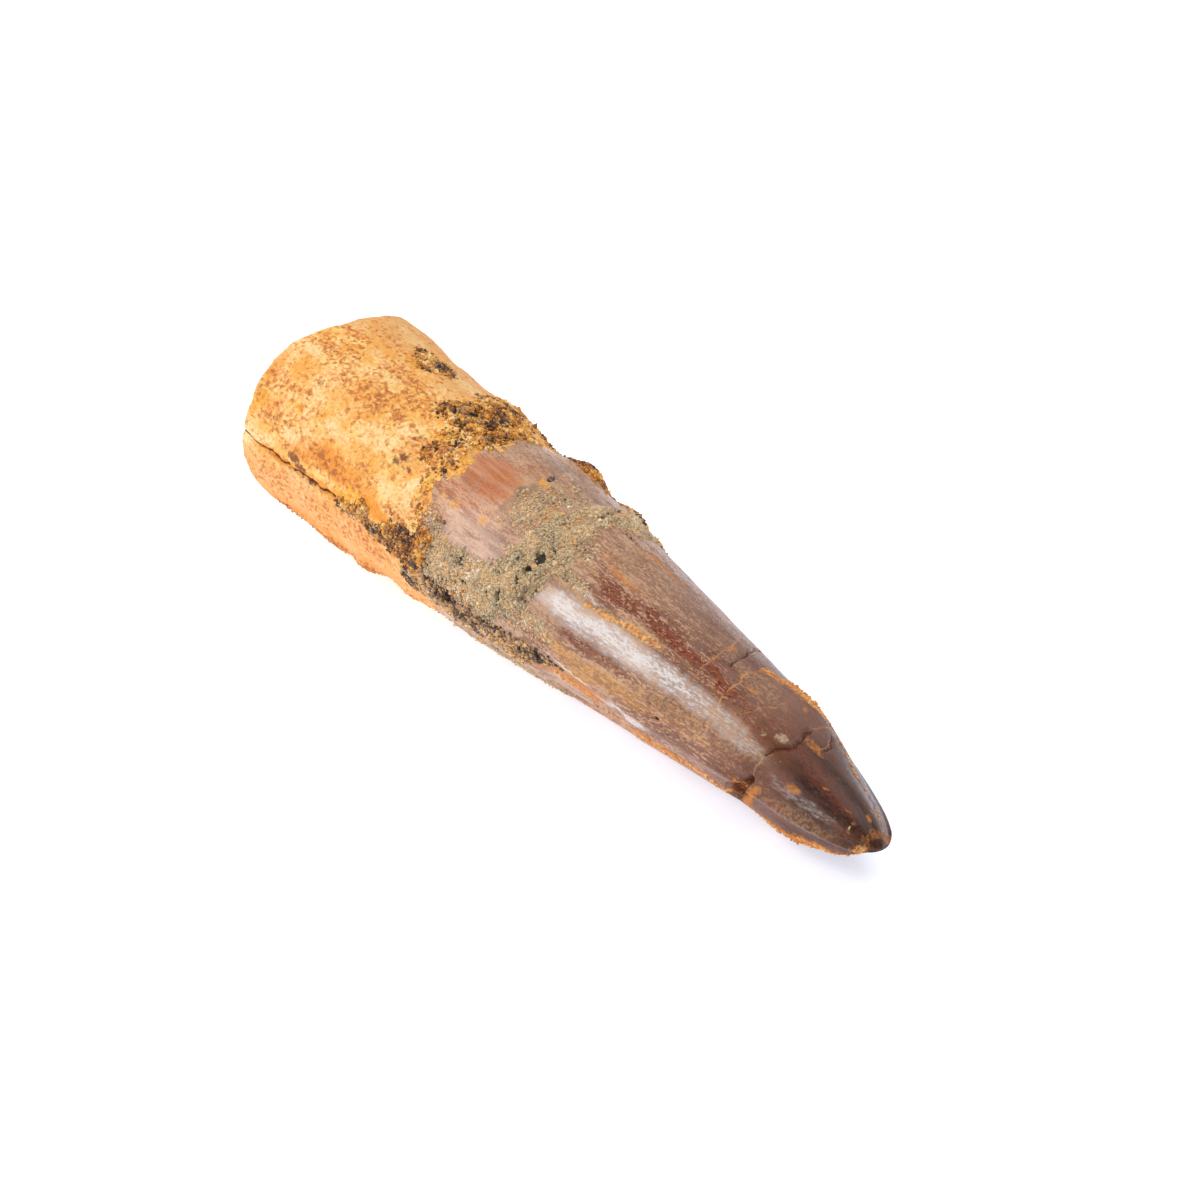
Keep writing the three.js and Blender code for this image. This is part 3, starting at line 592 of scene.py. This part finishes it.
def brokenEnd(turns, rim, rimAlong, names):
    # rings from the middle of the broken root end out to the rim, with the filled pulp cavity sunk in
    rings = np.linspace(0, 1, skin["endRings"] + 1)[1:-1]
    ring, turn = (grid.ravel() for grid in np.meshgrid(rings, turns, indexing="ij"))
    rim = np.tile(rim, (len(rings), 1))
    endSide, endHeight = axisAt(np.zeros(1))
    points = np.stack([
        0 * ring,
        endSide + skin["cavitySide"] * (1 - ring) + (rim[:, 1] - endSide) * ring,
        endHeight + skin["cavityUp"] * (1 - ring) + (rim[:, 2] - endHeight) * ring,
    ], axis=1)

    def noise(cell, octaves, seed):
        return fractalNoise(points, cell, octaves, seed)

    wander = brokenFace["wander"] * noise(3.0, 2, 83)
    hole = smooth(skin["cavityLip"], -skin["cavityLip"], ring + wander - skin["cavityRadius"])
    solid = 1 - hole
    rounding = skin["rimRounding"] * smooth(*brokenFace["rounding"], ring)
    coarse = brokenFace["roughness"] * noise(3.0, 5, 89) * smooth(*brokenFace["roughUntil"], ring)
    back = np.tile(rimAlong, len(rings)) - skin["rimStart"]
    inward = brokenFace["middleDepth"] * (1 - ring) + back * ring + rounding
    points[:, 0] = inward + skin["cavityDepth"] * hole + coarse * (1 - 0.5 * hole)

    masks = {name: 0 * ring for name in names}
    mottle = noise(2.5, 3, 97)
    layer = sum(bell((ring + 0.5 * wander - at) / width) for at, width in brokenFace["paleRings"])
    lip = bell((ring + wander - skin["cavityRadius"]) / brokenFace["lipRing"])
    masks["sand"] = np.maximum(hole, 0.5 * smooth(0.2, 0.5, mottle))
    masks["earth"] = 0.7 * hole * smooth(-0.1, 0.4, noise(2.0, 2, 101))
    masks["crust"] = 0.6 * lip + 0.5 * smooth(0.3, 0.6, -mottle)
    masks["specks"] = solid * smooth(-0.4, 0.4, noise(3.0, 2, 103) + 0.4 * layer)
    masks["orange"] = solid * np.clip(0.8 * smooth(0, 0.5, noise(4.0, 2, 107)) + 0.5 * layer, 0, 1)
    creamAt, creamWidth = brokenFace["creamRing"]
    masks["cream"] = 0.7 * solid * bell((ring - creamAt) / creamWidth)
    masks["side"] = brokenFace["sideTint"] + 0 * ring
    for at, width in brokenFace["cracks"]:
        sweep = np.radians(turn - at) + brokenFace["crackWander"] * noise(2.0, 2, 109 + at)
        off = ring * form["rootHalfWidth"] * np.sin(sweep)
        isNear = (np.abs(off) < brokenFace["crackReach"]) & (np.cos(sweep) > 0)
        opening = width * smooth(*brokenFace["crackRings"], ring)
        masks["crackSide"] = np.where(isNear, off, masks["crackSide"])
        masks["crackWidth"] = np.where(isNear, opening, masks["crackWidth"])
    points[:, 0] += crackDepth(masks)
    return points, masks, len(rings)


def buildSkin():
    # rings over the broken end, then rows along the tooth, each a full circle of columns
    columns = skin["columns"]
    even = np.arange(columns) * 2 * np.pi / columns
    lean = np.radians(skin["biasTowards"])
    turns = np.sort(np.degrees(even - skin["turnBias"] * np.sin(even - lean)) % 360)
    tipShare = np.sqrt(1 - np.linspace(1, 0, skin["tipRows"] + 1)[:-1] ** 2)
    tipLength = form["length"] - skin["tipGap"] - skin["crownRowsEnd"]
    rows = np.concatenate([
        np.linspace(skin["rimStart"], skin["rootRowsEnd"], skin["rootRows"], endpoint=False),
        np.linspace(skin["rootRowsEnd"], skin["crownRowsEnd"], skin["crownRows"], endpoint=False),
        skin["crownRowsEnd"] + tipLength * tipShare,
    ])
    row, turn = (grid.ravel() for grid in np.meshgrid(rows, turns, indexing="ij"))
    around = np.radians(turn)
    circle = np.stack([0 * turn, np.cos(around), np.sin(around)], axis=1) * form["rootHalfWidth"]
    setback = rimSetback(turn) + skin["rimRaggedness"] * fractalNoise(circle, 2.2, 3, 71)
    along = row + setback * (1 - smooth(0, rimBlend, row))
    masks = surveyed(along, turn)
    side = skinPoints(along, turn, reliefOf(along, turn, masks))
    names = [name for name in masks if name not in ("place", "heap")]
    endPoints, endMasks, ringCount = brokenEnd(turns, side[:columns], along[:columns], names)

    centre = endPoints[:columns].mean(axis=0, keepdims=True)
    tip = np.array([[form["length"], tipSide[0], tipHeight[0]]])
    points = np.concatenate([centre, endPoints, side, tip])
    attributes = {
        name: np.concatenate([endMasks[name][:1], endMasks[name], masks[name], masks[name][-1:]])
        for name in names
    }
    count = ringCount + len(rows)
    index = 1 + np.arange(count * columns).reshape(count, columns)
    following = np.roll(index, -1, axis=1)
    quads = np.stack([index[:-1], following[:-1], following[1:], index[1:]], axis=2).reshape(-1, 4)
    last = len(points) - 1
    faces = quads.tolist()
    faces += np.stack([0 * index[0], following[0], index[0]], axis=1).tolist()
    faces += np.stack([last + 0 * index[-1], index[-1], following[-1]], axis=1).tolist()
    return meshObject("tooth_skin", points, faces, attributes)


print("skin: grid of the whole tooth")
toothSkin = buildSkin()


def rgb(red, green, blue):
    # display values of 0 to 255 as the linear colour that Blender works in
    share = np.array([red, green, blue]) / 255
    linear = np.where(share <= 0.04045, share / 12.92, ((share + 0.055) / 1.055) ** 2.4)
    return (*linear.tolist(), 1.0)


class Graph:
    # one material's node tree, with short ways to add the nodes that the finishes below share
    def __init__(self, name):
        self.material = bpy.data.materials.new(name)
        self.material.use_nodes = True
        self.tree = self.material.node_tree
        self.tree.nodes.clear()
        self.shader = self.add("ShaderNodeBsdfPrincipled")
        output = self.add("ShaderNodeOutputMaterial")
        self.tree.links.new(self.shader.outputs[0], output.inputs[0])
        self.place = self.add("ShaderNodeTexCoord").outputs["Object"]

    def add(self, kind, **settings):
        node = self.tree.nodes.new(kind)
        for name, value in settings.items():
            setattr(node, name, value)
        return node

    def shaded(self, values):
        # the finished material, with these inputs of its shader
        for name, value in values.items():
            self.put(self.shader.inputs[name], value)
        return self.material

    def put(self, socket, value):
        # a socket is linked, and a number or a colour is set
        if isinstance(value, bpy.types.NodeSocket):
            self.tree.links.new(value, socket)
        else:
            socket.default_value = value

    def texture(self, kind, perMillimetre, stretch=1.0):
        # a texture with this many details to the millimetre, and the stretch times that along the tooth
        mapping = self.add("ShaderNodeMapping")
        size = perMillimetre / mm
        self.put(mapping.inputs["Vector"], self.place)
        self.put(mapping.inputs["Scale"], (size * stretch, size, size))
        texture = self.add(kind)
        self.put(texture.inputs["Vector"], mapping.outputs[0])
        self.put(texture.inputs["Scale"], 1.0)
        return texture

    def noise(self, perMillimetre, detail, stretch, distortion):
        texture = self.texture("ShaderNodeTexNoise", perMillimetre, stretch)
        self.put(texture.inputs["Detail"], detail)
        self.put(texture.inputs["Distortion"], distortion)
        return texture.outputs["Fac"]

    def crisp(self, noise):
        # the noise, stretched to fill 0 to 1
        return self.ramp(noise, 0.36, 0.64)

    def cells(self, perMillimetre):
        # a random number for each cell, and the distance to its middle
        texture = self.texture("ShaderNodeTexVoronoi", perMillimetre)
        split = self.add("ShaderNodeSeparateColor")
        self.put(split.inputs[0], texture.outputs["Color"])
        return split.outputs[0], texture.outputs["Distance"]

    def math(self, operation, first, second=0.0, third=0.0):
        node = self.add("ShaderNodeMath", operation=operation)
        for socket, value in zip(node.inputs, (first, second, third)):
            self.put(socket, value)
        return node.outputs[0]

    def times(self, first, second):
        return self.math("MULTIPLY", first, second)

    def fitted(self, value, slope, start):
        # start plus the slope times the value
        return self.math("MULTIPLY_ADD", value, slope, start)

    def ramp(self, value, start, stop, low=0.0, high=1.0):
        node = self.add("ShaderNodeMapRange", interpolation_type="SMOOTHSTEP")
        settings = {"Value": value, "From Min": start, "From Max": stop, "To Min": low, "To Max": high}
        for name, amount in settings.items():
            self.put(node.inputs[name], amount)
        return node.outputs["Result"]

    def mask(self, name):
        return self.add("ShaderNodeAttribute", attribute_name=name).outputs["Fac"]

    def blend(self, factor, under, over):
        node = self.add("ShaderNodeMix", data_type="RGBA")
        for socket, value in ((node.inputs[0], factor), (node.inputs[6], under), (node.inputs[7], over)):
            self.put(socket, value)
        return node.outputs[2]

    def coated(self, colour, coats):
        # the colour under several coats: each a share, and a colour or its name in finish
        for share, coat in coats:
            colour = self.blend(share, colour, finish[coat] if isinstance(coat, str) else coat)
        return colour

    def centred(self, noise, strength, start=0.0):
        # start plus strength times the noise's distance from its middle
        return self.fitted(self.math("SUBTRACT", noise, 0.5), strength, start)

    def mixed(self, factor, under, over):
        # the number under, or over where the factor is 1
        return self.fitted(factor, self.math("SUBTRACT", over, under), under)

    def palette(self, value, colours):
        node = self.add("ShaderNodeValToRGB")
        stops = node.color_ramp.elements
        while len(stops) < len(colours):
            stops.new(0.5)
        for stop, (position, colour) in zip(stops, colours):
            stop.position = position
            stop.color = rgb(*colour)
        self.put(node.inputs[0], value)
        return node.outputs[0]

    def covered(self, name, noise, spread, soft, most=1.0):
        # share of the surface under a mask: its border and its thin parts break up along the noise
        mask = self.mask(name)
        share = self.ramp(self.centred(noise, spread, mask), 0.5 - soft, 0.5 + soft, 0.0, most)
        return self.times(share, self.ramp(mask, 0.03, 0.25))

    def stain(self, name, noise, contrast, most):
        # a soft film: the mask itself, made stronger and weaker by the noise
        varied = self.centred(noise, contrast, 1.0)
        return self.ramp(self.times(self.mask(name), varied), 0.0, 1.0, 0.0, most)

    def line(self, name, wander):
        # 1 in the middle of a crack and 0 beyond half its width
        side = self.math("ABSOLUTE", self.math("ADD", self.mask(name + "Side"), wander))
        reach = self.times(self.mask(name + "Width"), 0.5)
        return self.ramp(self.math("SUBTRACT", reach, side), 0.0, 0.06)


# Colours of the skin, as display values that become linear ones.
finish = {
    "cream": (254, 224, 162), "bone": (254, 217, 136), "ochre": (252, 187, 92), "amber": (236, 148, 66),
    "side": (236, 170, 108), "orange": (246, 150, 40), "yellow": (246, 188, 44), "speck": (198, 112, 56),
    # the mauve colour below: partly the enamel's own tone, partly a painted sheen
    "darkSpeck": (164, 94, 54), "spot": (118, 54, 34), "mauveAndSheen": (134, 100, 90), "rust": (192, 96, 34),
    # the pale colour below: partly pale patina, partly a painted highlight
    "fibre": (216, 188, 168), "red": (150, 72, 30), "darkRed": (94, 30, 6), "paleAndHighlight": (248, 239, 233),
    "grey": (96, 82, 78), "dust": (206, 164, 118), "fallen": (214, 186, 150), "smear": (216, 136, 62),
    # the chip colour below: its own dark brown, partly painted shade in the chip's hollow
    "seam": (212, 152, 98), "crack": (96, 44, 14), "ledge": (232, 210, 186), "chip": (104, 50, 14),
    "pit": (44, 40, 38),
}
finish = {name: rgb(*colour) for name, colour in finish.items()}
# Display values again: grains from their dark gaps, partly painted shade, to the lightest, and enamel from
# worn to dark.
palettes = {
    "sand": [
        (0.0, (86, 70, 54)), (0.12, (158, 134, 102)), (0.3, (200, 174, 134)), (0.54, (218, 196, 158)),
        (0.7, (232, 172, 100)), (0.84, (238, 212, 176)), (1.0, (254, 248, 234)),
    ],
    "crust": [
        (0.0, (22, 18, 14)), (0.22, (68, 50, 36)), (0.4, (146, 108, 76)), (0.6, (206, 164, 118)),
        (0.82, (232, 178, 108)), (1.0, (250, 226, 196)),
    ],
    "earth": [
        (0.0, (30, 20, 16)), (0.2, (84, 54, 38)), (0.38, (160, 100, 54)), (0.6, (230, 150, 54)),
        (0.8, (250, 190, 78)), (1.0, (254, 226, 170)),
    ],
    "dirt": [(0.0, (176, 98, 44)), (0.35, (222, 138, 62)), (0.7, (238, 170, 94)), (1.0, (250, 216, 164))],
    "enamel": [(0.0, (204, 162, 132)), (0.3, (166, 116, 88)), (0.6, (122, 72, 48)), (1.0, (52, 20, 8))],
    "golden": [(0.0, (214, 152, 80)), (0.3, (180, 118, 56)), (0.6, (140, 84, 36)), (1.0, (70, 30, 8))],
    "salmon": [(0.0, (230, 182, 146)), (0.3, (212, 142, 98)), (0.6, (180, 100, 60)), (1.0, (96, 44, 20))],
}
# Noises of the skin: details per millimetre, octaves, share of that along the tooth, distortion.
noisePlans = {
    "broad": (0.22, 3, 1, 0),
    "blotch": (0.75, 4, 1, 0.4),
    "grain": (3.0, 2, 1, 0),
    "speck": (2.3, 4, 0.8, 0.6),
    "bands": (0.4, 3, 0.1, 0),
    "fibres": (1.3, 3, 0.05, 0),
    "hairs": (4.6, 2, 0.13, 0),
    "crinkles": (5.4, 2, 0.42, 0.5),
}
# How strongly the colour of each cover follows its clumps.
clumping = {"sand": 1.3, "crust": 1.7, "earth": 2.3, "dirt": 1.2}
# Kinds of cover, from the lowest up: how far noise breaks up the border, its softness, the most it hides.
covers = {
    "dirt": (2.0, 0.3, 0.9),
    "sand": (3.6, 0.14, 1.0),
    "earth": (3.6, 0.14, 1.0),
    "crust": (3.6, 0.14, 1.0),
}
roughness = {"enamel": (0.26, 0.4), "bone": 0.7, "loose": 0.8, "crust": 0.85, "chip": 0.9, "grains": 0.6}
specularLevel = 0.3
# Heights of the fine bumps in millimetres, and the strength of them all.
bumps = {"speck": 0.18, "grain": 0.08, "enamel": 0.016, "polish": -0.012, "cells": -0.2, "crack": -0.1}
bumpStrength = 0.9


def boneColour(graph, noises):
    # ochre and cream mottling, then stains, pale patches and reddish specks
    blotch, grain, ragged = noises["blotch"], noises["grain"], noises["ragged"]
    amount = graph.math("SUBTRACT", graph.mask("specks"), graph.times(graph.mask("cream"), 0.5))
    amount = graph.math("ADD", amount, graph.fitted(blotch, 1.4, -0.76))
    height = graph.fitted(amount, 0.18, noises["speck"])
    return graph.coated(finish["ochre"], [
        (graph.ramp(blotch, 0.36, 0.62), "bone"),
        (graph.ramp(noises["broad"], 0.46, 0.62, 0.0, 0.6), "cream"),
        (graph.times(graph.mask("side"), 0.6), "side"),
        (graph.stain("cream", blotch, 1.5, 0.9), "cream"),
        (graph.stain("orange", ragged, 3.0, 0.9), "orange"),
        (graph.covered("yellow", ragged, 4.0, 0.3, 0.95), noises["lichen"]),
        (graph.ramp(grain, 0.46, 0.66, 0.0, 0.45), "amber"),
        (graph.ramp(height, 0.44, 0.64, 0.0, 0.75), "amber"),
        (graph.ramp(height, 0.56, 0.7, 0.0, 0.7), "speck"),
        (graph.ramp(height, 0.64, 0.8, 0.0, 0.6), "darkSpeck"),
        (graph.covered("spots", grain, 1.6, 0.4, 0.85), "spot"),
    ])


def enamelColour(graph, noises):
    # a palette that darkens towards the tip and along the fibres, then bands, films, streaks and dust, and
    # a whitish streak that is partly pale patina and partly a painted highlight
    hairs, crinkles, grain, ragged = noises["hairs"], noises["crinkles"], noises["grain"], noises["ragged"]
    rough = graph.fitted(graph.mask("polish"), -0.75, 1.0)
    rough = graph.fitted(graph.mask("salmon"), 0.8, rough)
    dusk = graph.mask("dusk")
    for name, strength in (("fibres", 1.0), ("hairs", 0.42), ("crinkles", 0.5)):
        swing = graph.times(graph.centred(noises[name], 1.0), rough)
        dusk = graph.fitted(swing, strength, dusk)
    golden = graph.palette(dusk, palettes["golden"])
    streaks = graph.mixed(0.5, hairs, crinkles)
    reds = graph.blend(crinkles, finish["red"], finish["darkRed"])
    light = graph.times(graph.ramp(streaks, 0.5, 1.0, 0.0, 0.24), rough)
    light = graph.times(light, graph.ramp(graph.mask("red"), 0.1, 0.8, 1.0, 0.4))
    dusty = graph.ramp(graph.mask("dust"), 0.0, 1.0)
    return graph.coated(graph.palette(dusk, palettes["enamel"]), [
        (graph.stain("salmon", crinkles, 0.5, 0.85), graph.palette(dusk, palettes["salmon"])),
        # grey-mauve on the right flank: partly the enamel's own tone, partly a painted sheen
        (graph.times(graph.mask("mauveAndSheen"), 0.45), "mauveAndSheen"),
        (graph.ramp(noises["bands"], 0.52, 0.66, 0.0, 0.4), golden),
        (graph.stain("golden", crinkles, 0.6, 0.95), golden),
        (graph.ramp(noises["bands"], 0.46, 0.32, 0.0, 0.35), "darkRed"),
        (graph.stain("rust", noises["fibres"], 1.8, 0.7), "rust"),
        (graph.stain("red", streaks, 1.3, 0.95), reds),
        (graph.stain("grey", ragged, 3.0, 0.7), "grey"),
        (light, "fibre"),
        # the whitish streak: partly pale patina, partly a painted highlight
        (graph.stain("paleAndHighlight", streaks, 1.3, 0.8), "paleAndHighlight"),
        (graph.times(dusty, graph.ramp(grain, 0.4, 0.6, 0.15, 0.9)), "dust"),
        (graph.covered("cream", grain, 1.6, 0.45, 0.7), "fallen"),
        (graph.covered("orange", grain, 1.6, 0.5, 0.7), "smear"),
        (graph.covered("yellow", ragged, 5.0, 0.4, 0.85), noises["lichen"]),
    ])


def skinMaterial():
    # bone and enamel meet at the crown mask, and the crust, the chip, the cracks and the pits lie over both
    graph = Graph("fossil_tooth")
    noises = {name: graph.noise(*plan) for name, plan in noisePlans.items()}
    for name in ("hairs", "crinkles"):
        noises[name] = graph.crisp(noises[name])
    grain, blotch, speck = noises["grain"], noises["blotch"], noises["speck"]
    ragged = noises["ragged"] = graph.mixed(0.5, blotch, grain)
    noises["lichen"] = graph.blend(graph.crisp(speck), finish["yellow"], finish["amber"])
    cellValue, cellDistance = graph.cells(3.4)
    # painted shade: darker towards the borders of the cells
    gap = graph.ramp(cellDistance, 0.4, 0.85, 0.0, 0.24)

    crown = graph.covered("crown", ragged, 2.6, 0.15)
    colour = graph.blend(crown, boneColour(graph, noises), enamelColour(graph, noises))
    wander = graph.centred(grain, 0.2)
    for name, most in (("seam", 0.6), ("ledge", 0.8)):
        worn = graph.ramp(blotch, 0.35, 0.6, 0.15, most)
        colour = graph.blend(graph.times(graph.line(name, wander), worn), colour, finish[name])
    granular = 0.0
    for name, (spread, soft, most) in covers.items():
        cover = graph.covered(name, ragged, spread, soft, most)
        clump = graph.centred(blotch, clumping[name], 0.5)
        if name == "dirt":
            pick = graph.mixed(0.6, clump, graph.crisp(grain))
        else:
            # colour by cell and by clump, with painted shade darkening the gaps between the cells
            pick = graph.math("SUBTRACT", graph.mixed(0.55, clump, cellValue), gap)
            granular = graph.math("MAXIMUM", cover, granular)
        colour = graph.blend(cover, colour, graph.palette(pick, palettes[name]))
    chipped = graph.ramp(graph.centred(grain, 0.8, graph.mask("chip")), 0.3, 0.8, 0.0, 0.95)
    crack = graph.line("crack", wander)
    colour = graph.coated(colour, [
        # the chip: dark brown, partly painted shade in its hollow, with orange patches
        (chipped, graph.blend(graph.ramp(ragged, 0.5, 0.62), finish["chip"], finish["smear"])),
        (graph.times(crack, 0.9), "crack"),
        (graph.covered("pit", grain, 1.6, 0.25, 0.92), "pit"),
    ])

    loose = graph.math("MAXIMUM", graph.mask("orange"), graph.mask("dirt"))
    rough = graph.ramp(noises["hairs"], 0.0, 1.0, *roughness["enamel"])
    rough = graph.mixed(crown, roughness["bone"], rough)
    rough = graph.mixed(granular, rough, roughness["crust"])
    rough = graph.mixed(graph.ramp(loose, 0.2, 0.6), rough, roughness["loose"])
    rough = graph.mixed(chipped, rough, roughness["chip"])

    boneHeight = graph.fitted(speck, bumps["speck"], graph.times(grain, bumps["grain"]))
    ridges = graph.math("ADD", noises["hairs"], noises["crinkles"])
    ridgeHeight = graph.fitted(graph.mask("polish"), bumps["polish"], bumps["enamel"])
    height = graph.mixed(crown, boneHeight, graph.times(ridges, ridgeHeight))
    height = graph.mixed(granular, height, graph.times(cellDistance, bumps["cells"]))
    bump = graph.add("ShaderNodeBump")
    graph.put(bump.inputs["Strength"], bumpStrength)
    graph.put(bump.inputs["Distance"], mm)
    graph.put(bump.inputs["Height"], graph.fitted(crack, bumps["crack"], height))
    graph.put(graph.shader.inputs["Specular IOR Level"], specularLevel)
    return graph.shaded({"Base Color": colour, "Roughness": rough, "Normal": bump.outputs[0]})


toothSkin.data.materials.append(skinMaterial())
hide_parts("tooth")
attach(toothSkin, "root")
print("skin:", len(toothSkin.data.polygons), "faces")

# Single grains on the crust: each is a small distorted octahedron, half sunk into the skin.
grainPieces = [
    {"mask": "sand", "count": 24000, "size": 0.13, "seed": 5},
    {"mask": "crust", "count": 14000, "size": 0.17, "seed": 6},
    {"mask": "earth", "count": 16000, "size": 0.17, "seed": 7},
    {"mask": "dirt", "count": 8000, "size": 0.12, "seed": 8},
]
octahedron = {
    "corners": [(1, 0, 0), (-1, 0, 0), (0, 1, 0), (0, -1, 0), (0, 0, 1), (0, 0, -1)],
    "sides": [(0, 2, 4), (2, 1, 4), (1, 3, 4), (3, 0, 4), (2, 0, 5), (1, 2, 5), (3, 1, 5), (0, 3, 5)],
    "spread": 0.35,
    "stretch": (0.7, 1.2),
    "distortion": 0.25,
}
# Tries for each grain, and where grains may lie: along the tooth, past the broken rim and above the table.
grainPlaces = {
    "tries": 9,
    "margin": 1.5,
    "along": (1.5, 91.8),
    "pastRim": 1.2,
    "height": 0.5,
    "lowest": 0.02,
}


def buildGrains(plan):
    # random places, kept with the mask's own probability, each with a stretched and turned octahedron
    kind = plan["mask"]
    name = kind + "_grains"
    rng = np.random.default_rng(plan["seed"])
    tries = plan["count"] * grainPlaces["tries"]
    at, _, length, _, _ = np.array(areas[kind]).T
    margin = grainPlaces["margin"] * length
    low, high = grainPlaces["along"]
    along = rng.uniform(max(low, (at - margin).min()), min(high, (at + margin).max()), tries)
    turn = rng.uniform(0, 360, tries)
    _, shift, lift, degree = wandered(along, turn)
    mask = patches(along + shift, turn + lift * degree, areas[kind])
    weight = mask**2 * halfWidthAt(along) / form["rootHalfWidth"]
    near = rng.uniform(0, 1, tries) < weight
    along, turn = along[near], turn[near]
    masks = surveyed(along, turn)
    over = {"sand": np.maximum(masks["crust"], masks["earth"]), "earth": 0.5 * masks["crust"]}
    bare = (1 - over.get(kind, 0)) * (1 - masks["pit"]) * (1 - masks["chip"])
    kept = np.flatnonzero(rng.uniform(0, 1, len(along)) < bare)[: plan["count"]]
    along, turn = along[kept], turn[kept]
    masks = {key: values[kept] for key, values in masks.items()}
    centre = skinPoints(along, turn, reliefOf(along, turn, masks))
    clump = 0.5 + 0.8 * clumping[kind] * fractalNoise(masks["place"], 1.5, 3, 131)
    isFree = (centre[:, 2] > grainPlaces["height"]) & (along > grainPlaces["pastRim"] + rimSetback(turn))
    centre, clump, count = centre[isFree], clump[isFree], int(isFree.sum())

    size = plan["size"] * rng.lognormal(0, octahedron["spread"], (count, 1, 1))
    size = size * rng.uniform(*octahedron["stretch"], (count, 1, 3))
    corners = np.array(octahedron["corners"], float) * size
    shape = corners + octahedron["distortion"] * size * rng.uniform(-1, 1, (count, 6, 3))
    turned = np.linalg.qr(rng.normal(size=(count, 3, 3)))[0]
    turned[:, :, 0] *= np.sign(np.linalg.det(turned))[:, None]
    points = centre[:, None, :] + shape @ turned
    points[:, :, 2] = np.maximum(points[:, :, 2], grainPlaces["lowest"])
    faces = (np.arange(count)[:, None, None] * 6 + np.array(octahedron["sides"])).reshape(-1, 3)

    # colour from the same palette as the skin below: by grain and by clump
    position = [stop for stop, _ in palettes[kind]]
    tones = np.array([rgb(*colour) for _, colour in palettes[kind]])
    pick = np.clip(0.55 * rng.uniform(0, 1, count) + 0.45 * clump, 0, 1)
    tone = np.stack([np.interp(pick, position, tones[:, channel]) for channel in range(4)], axis=1)
    grains = meshObject(name, points.reshape(-1, 3), faces.tolist(), {"tone": np.repeat(tone, 6, axis=0)})
    graph = Graph(name)
    tint = graph.add("ShaderNodeAttribute", attribute_name="tone").outputs["Color"]
    grains.data.materials.append(graph.shaded({"Base Color": tint, "Roughness": roughness["grains"]}))
    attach(grains, "root")
    print("grains:", name, count)


for plan in grainPieces:
    buildGrains(plan)


stage = {
    "floorSize": 4.0,
    "floorColour": (238, 243, 254),
    "floorGlow": 0.6,
    "floorRoughness": 0.6,
    "worldColour": (0.96, 0.98, 1.0, 1.0),
    "worldStrength": 0.5,
    "azimuth": 52,
    "elevation": 30,
    "distance": 0.432,
    "lens": 130,
    "clip": (0.01, 20),
    "lookAt": (-3.46, 2.03, 6.0),
    "lightAt": (0, 0, 0.01),
}
lamps = [
    {"name": "left_softbox", "towards": (-0.68, -0.56, 0.48), "distance": 0.45, "size": 0.24, "watts": 0.9},
    {"name": "top_softbox", "towards": (0.1, 0.3, 1.0), "distance": 0.6, "size": 0.5, "watts": 1.6},
]


def aimed(name, data, target, direction, distance):
    # a light or a camera at that distance from its target, facing it
    made = bpy.data.objects.new(name, data)
    made.location = target + direction * distance
    made.rotation_mode = "QUATERNION"
    made.rotation_quaternion = direction.to_track_quat("Z", "Y")
    bpy.context.collection.objects.link(made)
    return made


def buildStage():
    # a large white floor, an even pale world, two square soft lights and the camera
    half = stage["floorSize"] / 2
    mesh = bpy.data.meshes.new("floor")
    corners = [(-half, -half, 0), (half, -half, 0), (half, half, 0), (-half, half, 0)]
    mesh.from_pydata(corners, [], [(0, 1, 2, 3)])
    floor = bpy.data.objects.new("floor", mesh)
    bpy.context.collection.objects.link(floor)
    white = rgb(*stage["floorColour"])
    mesh.materials.append(Graph("floor").shaded({
        "Base Color": white,
        "Roughness": stage["floorRoughness"],
        "Emission Color": white,
        "Emission Strength": stage["floorGlow"],
    }))

    world = bpy.data.worlds.new("studio")
    world.use_nodes = True
    background = world.node_tree.nodes["Background"]
    background.inputs["Color"].default_value = stage["worldColour"]
    background.inputs["Strength"].default_value = stage["worldStrength"]
    bpy.context.scene.world = world
    for plan in lamps:
        data = bpy.data.lights.new(plan["name"], "AREA")
        data.shape, data.size, data.energy = "SQUARE", plan["size"], plan["watts"]
        direction = Vector(plan["towards"]).normalized()
        aimed(plan["name"], data, Vector(stage["lightAt"]), direction, plan["distance"])

    azimuth, elevation = np.radians(stage["azimuth"]), np.radians(stage["elevation"])
    level = np.cos(elevation)
    back = Vector((np.sin(azimuth) * level, -np.cos(azimuth) * level, np.sin(elevation)))
    data = bpy.data.cameras.new("camera")
    data.lens = stage["lens"]
    data.clip_start, data.clip_end = stage["clip"]
    camera = aimed("camera", data, Vector(stage["lookAt"]) * mm, back, stage["distance"])
    bpy.context.scene.camera = camera


buildStage()
print("stage: floor, lights and camera")
